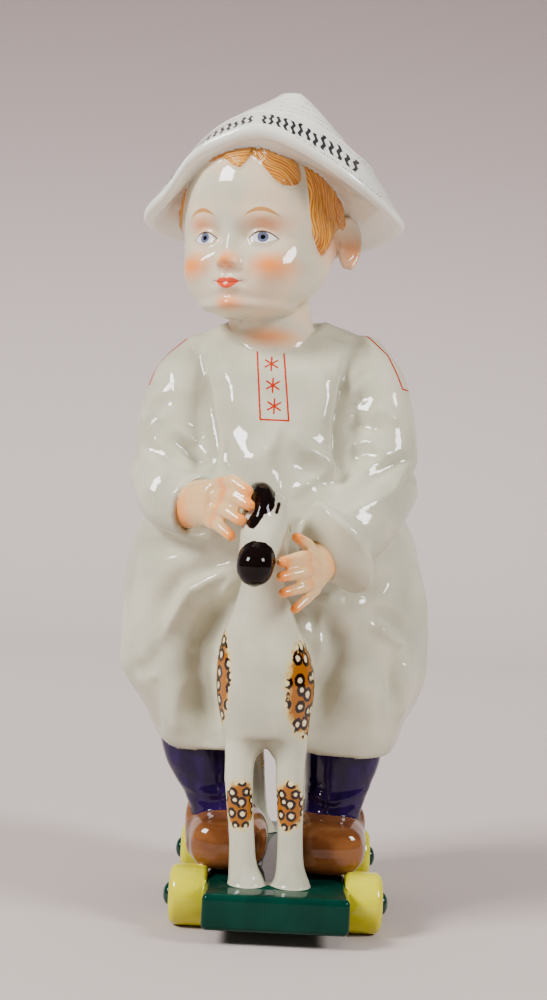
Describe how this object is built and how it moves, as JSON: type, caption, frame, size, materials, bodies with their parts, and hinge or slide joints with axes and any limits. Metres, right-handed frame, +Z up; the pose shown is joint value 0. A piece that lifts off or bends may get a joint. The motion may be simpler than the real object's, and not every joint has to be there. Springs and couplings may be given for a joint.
{
  "type": "porcelain child figurine",
  "caption": "Glazed porcelain figurine of a small child in a long smock and folded paper hat, astride a toy horse on a wheeled cart, cast as one piece.",
  "frame": {"origin": "middle of the bounding box's underside, on the surface that the wheels stand on", "axes": "+Z up through the hat, -Y to the horse's muzzle at the front, +X to the child's left"},
  "size_m": [0.0654, 0.0892, 0.1741],
  "materials": {
    "glazed_porcelain": "transparent glossy glaze over white porcelain, painted in enamel colours"
  },
  "bodies": {
    "root": {"figurine": "glazed_porcelain"}
  },
  "joints": []
}
